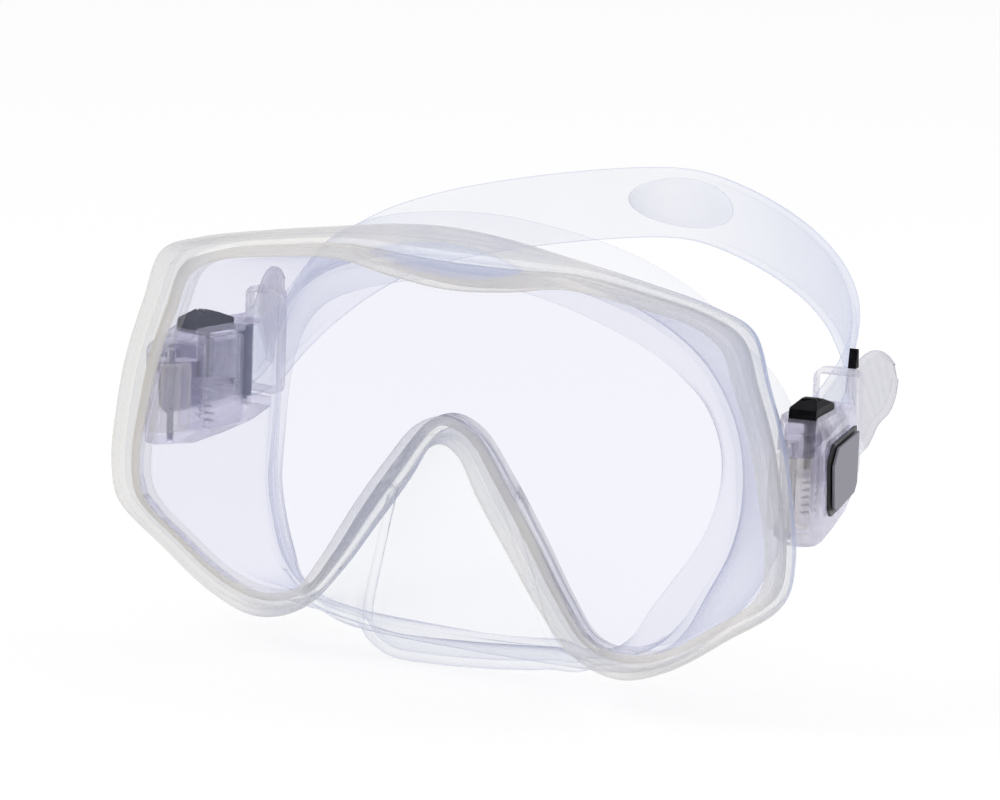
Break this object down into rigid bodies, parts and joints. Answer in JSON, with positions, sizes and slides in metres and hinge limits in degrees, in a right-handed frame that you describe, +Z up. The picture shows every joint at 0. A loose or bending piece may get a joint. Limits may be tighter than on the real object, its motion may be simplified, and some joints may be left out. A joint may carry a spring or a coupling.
{
  "type": "diving mask",
  "caption": "Clear frameless diving mask with one glass lens, silicone skirt with nose pocket, head strap and swivelling push-button buckles.",
  "frame": {"origin": "on the lens's front face, on the plane of symmetry, above the nose arch", "axes": "+X to the wearer's left as seen from in front, the mask's right in the picture; +Y from the lens back to the face; +Z up"},
  "size_m": [0.1694, 0.1079, 0.1006],
  "materials": {
    "lens_glass": "clear tempered glass, polished",
    "silicone": "clear silicone rubber, satin",
    "tinted_plastic": "clear polycarbonate with a purple-grey tint, glossy",
    "clear_plastic": "colourless clear polycarbonate, glossy",
    "black_plastic": "black moulded plastic, satin",
    "grey_plastic": "dark grey moulded plastic",
    "label_silver": "silver-grey coated plastic, satin",
    "steel": "stainless steel, bright"
  },
  "bodies": {
    "mask": {"lens": "lens_glass", "core_frame": "clear_plastic", "skirt": "silicone", "strap": "silicone", "strap_badge": "clear_plastic", "lug_bush_left": "clear_plastic", "lug_bush_right": "clear_plastic"},
    "buckle_left": {"hinge_pin_left": "steel", "buckle_housing_left": "tinted_plastic", "housing_cover_left": "tinted_plastic", "label_backing_left": "black_plastic", "label_plate_left": "label_silver", "strap_keeper_left": "clear_plastic", "roller_axle_left": "steel", "pawl_pin_left": "steel", "button_spring_left": "steel"},
    "button_left": {"release_button_left": "black_plastic"},
    "pawl_left": {"locking_pawl_left": "tinted_plastic"},
    "roller_left": {"strap_roller_left": "grey_plastic"},
    "buckle_right": {"hinge_pin_right": "steel", "buckle_housing_right": "tinted_plastic", "housing_cover_right": "tinted_plastic", "label_backing_right": "black_plastic", "label_plate_right": "label_silver", "strap_keeper_right": "clear_plastic", "roller_axle_right": "steel", "pawl_pin_right": "steel", "button_spring_right": "steel", "strap_stop": "black_plastic"},
    "button_right": {"release_button_right": "black_plastic"},
    "pawl_right": {"locking_pawl_right": "tinted_plastic"},
    "roller_right": {"strap_roller_right": "grey_plastic"}
  },
  "joints": [
    {"name": "buckle_swivel_left", "type": "hinge", "parent": "mask", "child": "buckle_left", "pos_m": [-0.0774, 0.0106, -0.02], "axis": [0, 0, 1], "range_deg": [-5, 25], "deforming": ["strap"]},
    {"name": "button_press_left", "type": "slide", "parent": "buckle_left", "child": "button_left", "axis": [0, 0, -1], "range_m": [0, 0.002], "stiffness_N_per_m": 300, "springref_m": -0.002, "deforming": ["button_spring_left"]},
    {"name": "pawl_release_left", "type": "hinge", "parent": "buckle_left", "child": "pawl_left", "pos_m": [-0.0748, 0.027, -0.0184], "axis": [0.9877, -0.1564, 0], "range_deg": [0, 19]},
    {"name": "roller_turn_left", "type": "hinge", "parent": "buckle_left", "child": "roller_left", "pos_m": [-0.07313, 0.03372, -0.0144], "axis": [0, 0, 1], "continuous": true},
    {"name": "buckle_swivel_right", "type": "hinge", "parent": "mask", "child": "buckle_right", "pos_m": [0.0774, 0.0106, -0.02], "axis": [0, 0, -1], "range_deg": [-5, 25], "deforming": ["strap"]},
    {"name": "button_press_right", "type": "slide", "parent": "buckle_right", "child": "button_right", "axis": [0, 0, -1], "range_m": [0, 0.002], "stiffness_N_per_m": 300, "springref_m": -0.002, "deforming": ["button_spring_right"]},
    {"name": "pawl_release_right", "type": "hinge", "parent": "buckle_right", "child": "pawl_right", "pos_m": [0.0748, 0.027, -0.0184], "axis": [0.9877, 0.1564, 0], "range_deg": [0, 19]},
    {"name": "roller_turn_right", "type": "hinge", "parent": "buckle_right", "child": "roller_right", "pos_m": [0.07313, 0.03372, -0.0144], "axis": [0, 0, 1], "continuous": true}
  ],
  "couplings": [
    {"joint": "pawl_release_left", "follows": "button_press_left", "rad_per_m": 161.29},
    {"joint": "pawl_release_right", "follows": "button_press_right", "rad_per_m": 161.29}
  ]
}
